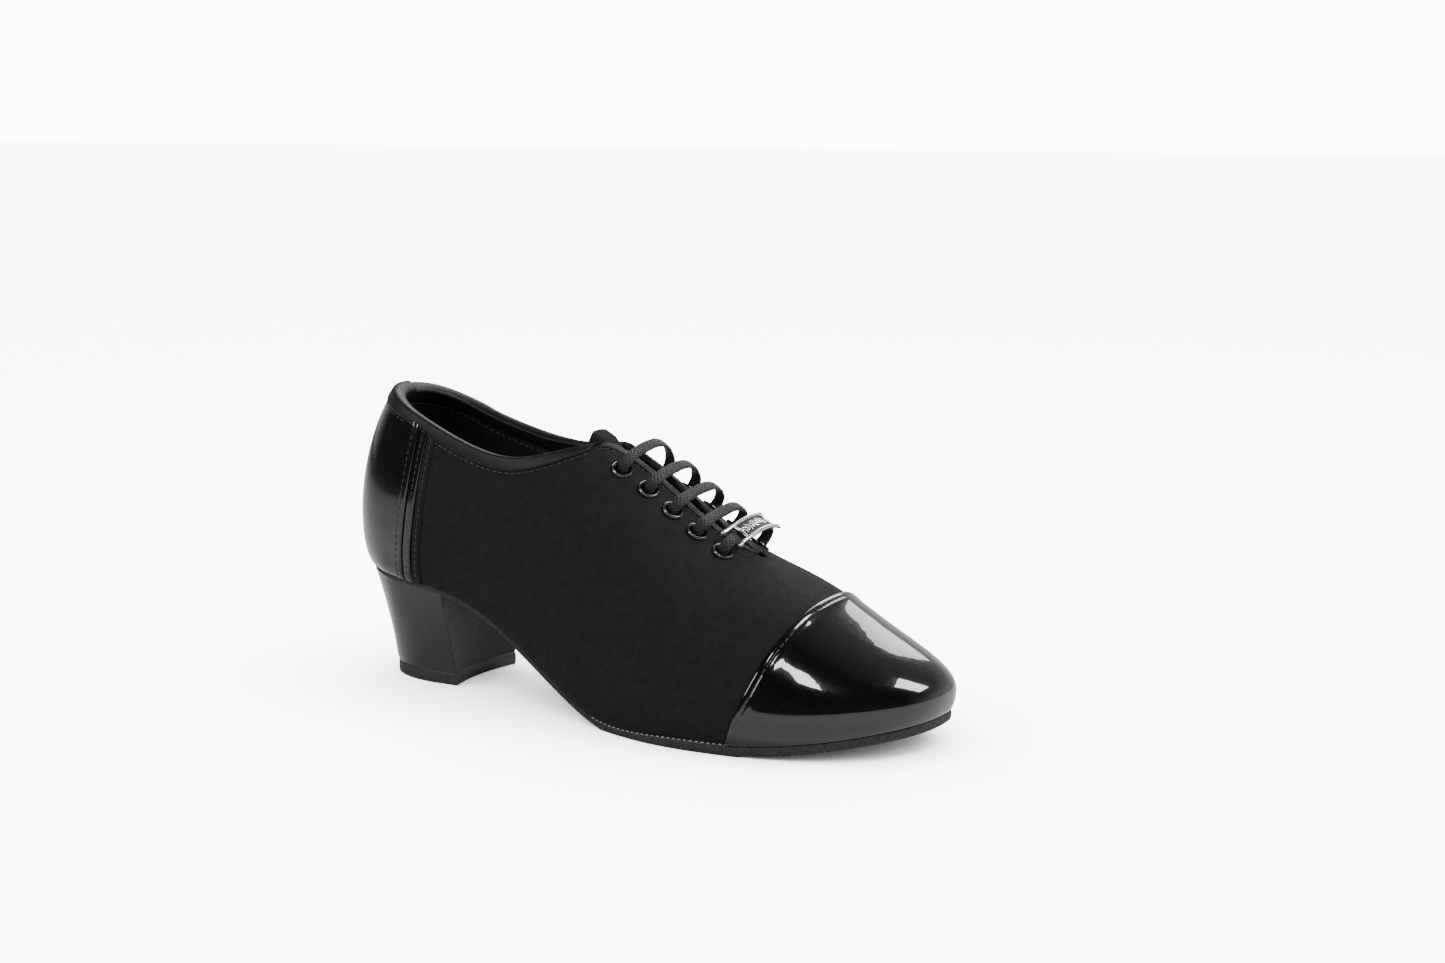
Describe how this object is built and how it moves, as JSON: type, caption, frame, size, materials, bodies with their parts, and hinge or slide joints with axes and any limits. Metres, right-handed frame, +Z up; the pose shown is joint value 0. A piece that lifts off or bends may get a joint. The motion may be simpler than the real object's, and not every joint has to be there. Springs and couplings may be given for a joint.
{
  "type": "lace-up heeled dance practice shoe",
  "caption": "Low lace-up practice shoe with a gloss toe cap, gloss heel counter, a thin suede sole and a curved block heel.",
  "frame": {"origin": "centre of the overall box in plan, on the floor under the sole and heel", "axes": "+X from heel to toe, +Y to the inner side of this right foot, +Z up"},
  "size_m": [0.2526, 0.0894, 0.1163],
  "materials": {
    "stretch_fabric": "matt knit",
    "edge_tape": "matt woven tape",
    "satin_binding": "satin",
    "patent_toe_cap": "high gloss patent",
    "patent_counter": "high gloss patent",
    "heel_patent": "high gloss patent",
    "heel_breast_satin": "satin",
    "heel_core": "moulded",
    "top_piece_rubber": "matt",
    "suede_sole": "rough suede",
    "lining_cloth": "matt cloth",
    "sock_leather": "matt",
    "foam": "soft foam",
    "fibre_board": "pressed fibre",
    "tongue_felt": "felt",
    "tongue_cloth": "matt cloth",
    "lace_cord": "braided",
    "lace_tip": "gloss",
    "eyelet_metal": "gunmetal nickel",
    "charm_metal": "bright silver plate",
    "steel": "bright"
  },
  "bodies": {
    "shoe": {"counter_cover": "patent_counter", "counter_stiffener": "fibre_board", "counter_strip_inner": "patent_counter", "counter_strip_outer": "patent_counter", "eyelet_inner_1": "eyelet_metal", "eyelet_inner_2": "eyelet_metal", "eyelet_inner_3": "eyelet_metal", "eyelet_inner_4": "eyelet_metal", "eyelet_inner_5": "eyelet_metal", "eyelet_outer_1": "eyelet_metal", "eyelet_outer_2": "eyelet_metal", "eyelet_outer_3": "eyelet_metal", "eyelet_outer_4": "eyelet_metal", "eyelet_outer_5": "eyelet_metal", "facing_tape_inner": "edge_tape", "facing_tape_outer": "edge_tape", "filler_rear": "foam", "heel_block": "heel_core", "heel_breast_cover": "heel_breast_satin", "heel_cover": "heel_patent", "heel_nail_1": "steel", "heel_nail_2": "steel", "heel_nail_3": "steel", "heel_nail_4": "steel", "heel_pad": "foam", "heel_screw": "steel", "insole_board_rear": "fibre_board", "lace": "lace_cord", "lining_quarters": "lining_cloth", "lining_vamp": "lining_cloth", "outsole_rear": "suede_sole", "shank": "steel", "shank_rivet_1": "steel", "shank_rivet_2": "steel", "sock_liner_rear": "sock_leather", "top_piece": "top_piece_rubber", "top_piece_pin_1": "steel", "top_piece_pin_2": "steel", "topline_binding": "satin_binding", "upper_quarters": "stretch_fabric", "upper_vamp": "stretch_fabric"},
    "forefoot": {"toe_cap": "patent_toe_cap", "toe_puff": "fibre_board", "lining_toe": "lining_cloth", "outsole_front": "suede_sole", "insole_board_front": "fibre_board", "sock_liner_front": "sock_leather", "filler_front": "foam", "lace_tip_start": "lace_tip", "lace_tip_end": "lace_tip"},
    "tongue_flap": {"tongue": "tongue_felt", "tongue_lining": "tongue_cloth"},
    "charm": {"lace_charm": "charm_metal"}
  },
  "joints": [
    {"name": "toe_flex", "type": "hinge", "parent": "shoe", "child": "forefoot", "pos_m": [0.054, 0, 0.01], "axis": [0, -1, 0], "range_deg": [0, 20], "stiffness_Nm_per_rad": 0.6, "deforming": ["upper_vamp", "lining_vamp", "lace"]},
    {"name": "tongue_hinge", "type": "hinge", "parent": "shoe", "child": "tongue_flap", "pos_m": [0.0515, 0.0075, 0.0555], "axis": [0, -1, 0], "range_deg": [0, 8], "stiffness_Nm_per_rad": 0.1, "springref_deg": -5.73},
    {"name": "charm_slide", "type": "slide", "parent": "shoe", "child": "charm", "axis": [0, 1, 0], "range_m": [-0.001, 0.001]}
  ]
}
